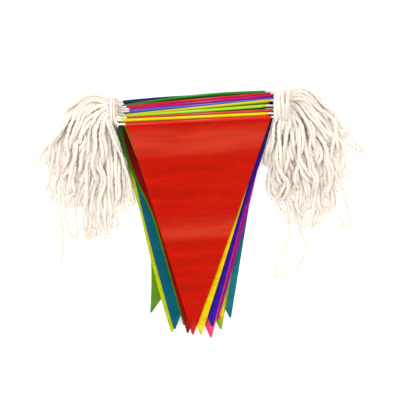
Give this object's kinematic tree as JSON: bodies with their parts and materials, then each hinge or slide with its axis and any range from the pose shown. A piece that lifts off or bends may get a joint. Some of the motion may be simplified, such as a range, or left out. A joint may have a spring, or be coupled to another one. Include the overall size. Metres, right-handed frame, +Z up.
{
  "type": "tied bundle of string bunting",
  "caption": "Bundle of string bunting lying flat: triangular pennants in many colours, stacked hem on hem, with the white cord between them tied in a bunch of loops at each side.",
  "frame": {"origin": "on the surface that the bundle rests on, under the pile of pennants, at the flat underside of the lowest pennant", "axes": "+X along the hems to the right, +Y from the tips towards the hems, +Z up from the surface, through the pile"},
  "size_m": [0.4578, 0.3471, 0.0374],
  "materials": {
    "cloth_grass": "fine ribbed taffeta with a soft sheen",
    "cloth_teal_right": "fine ribbed taffeta with a soft sheen",
    "cloth_lime_back": "fine ribbed taffeta with a soft sheen",
    "cloth_yellow_back": "fine ribbed taffeta with a soft sheen",
    "cloth_crimson": "fine ribbed taffeta with a soft sheen",
    "cloth_magenta": "fine ribbed taffeta with a soft sheen",
    "cloth_pink": "fine ribbed taffeta with a soft sheen",
    "cloth_violet": "fine ribbed taffeta with a soft sheen",
    "cloth_lime_left": "fine ribbed taffeta with a soft sheen",
    "cloth_teal_left": "fine ribbed taffeta with a soft sheen",
    "cloth_leaf": "fine ribbed taffeta with a soft sheen",
    "cloth_coral": "fine ribbed taffeta with a soft sheen",
    "cloth_yellow_front": "fine ribbed taffeta with a soft sheen",
    "cloth_red": "fine ribbed taffeta with a soft sheen",
    "cord": "matte twisted cotton"
  },
  "bodies": {
    "root": {"pennant_grass": "cloth_grass", "pennant_teal_right": "cloth_teal_right", "pennant_lime_back": "cloth_lime_back", "pennant_yellow_back": "cloth_yellow_back", "pennant_crimson": "cloth_crimson", "pennant_magenta": "cloth_magenta", "pennant_pink": "cloth_pink", "pennant_violet": "cloth_violet", "pennant_lime_left": "cloth_lime_left", "pennant_teal_left": "cloth_teal_left", "pennant_leaf": "cloth_leaf", "pennant_coral": "cloth_coral", "pennant_yellow_front": "cloth_yellow_front", "pennant_red": "cloth_red", "cord_loops_left": "cord", "cord_loops_right": "cord", "tie_left": "cord", "tie_right": "cord"}
  },
  "joints": []
}
